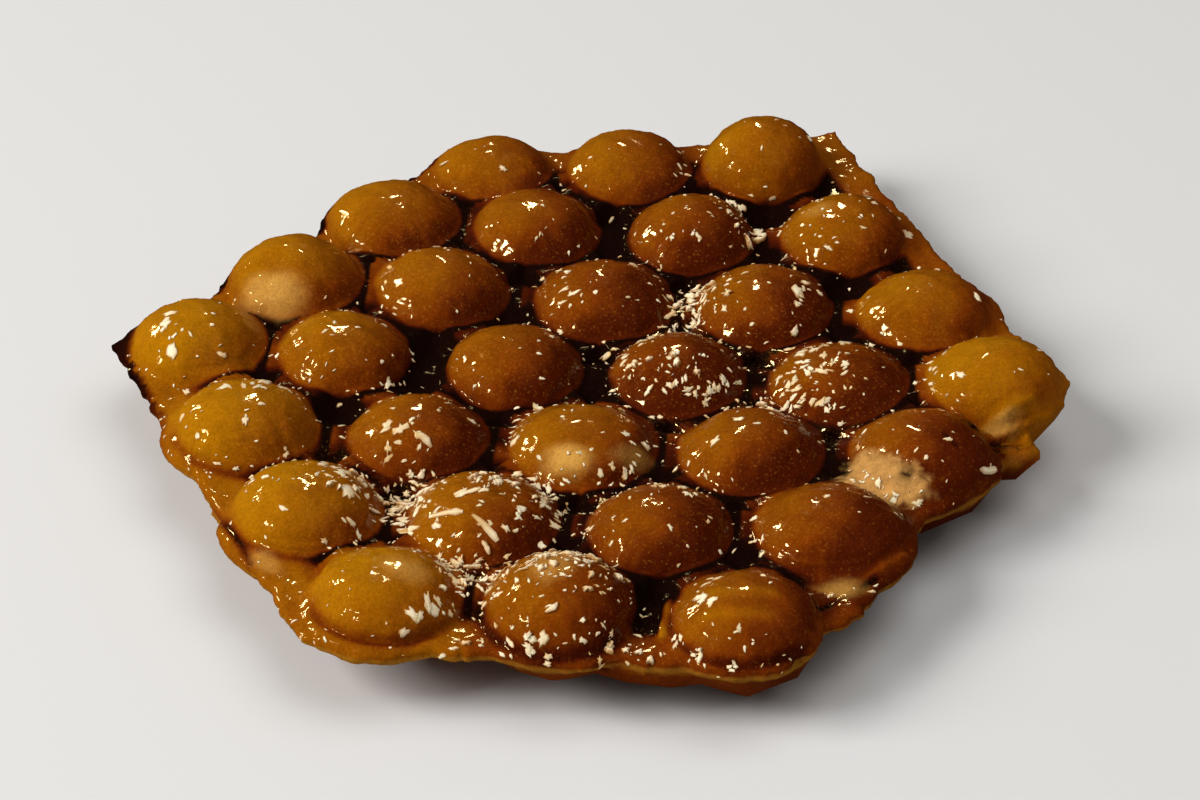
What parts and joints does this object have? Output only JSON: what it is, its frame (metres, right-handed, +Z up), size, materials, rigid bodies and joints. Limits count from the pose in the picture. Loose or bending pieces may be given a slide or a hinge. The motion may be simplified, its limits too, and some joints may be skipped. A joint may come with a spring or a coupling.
{
  "type": "bubble waffle",
  "caption": "Flat baked waffle sheet of round hollow-looking bubbles in staggered rows, browned and glossy, with small pale shreds stuck on it; eaten as a snack or dessert base.",
  "frame": {"origin": "middle of the waffle's outline, on the surface that it lies on", "axes": "+X along its rows of bubbles, +Y away from its front, +Z up through its thickness"},
  "size_m": [0.1998, 0.1966, 0.0274],
  "materials": {
    "crust": "glossy caramel-brown baked crust",
    "shreds": "pale cream, slightly toasted shreds"
  },
  "bodies": {
    "root": {"waffle": "crust"}
  },
  "joints": []
}
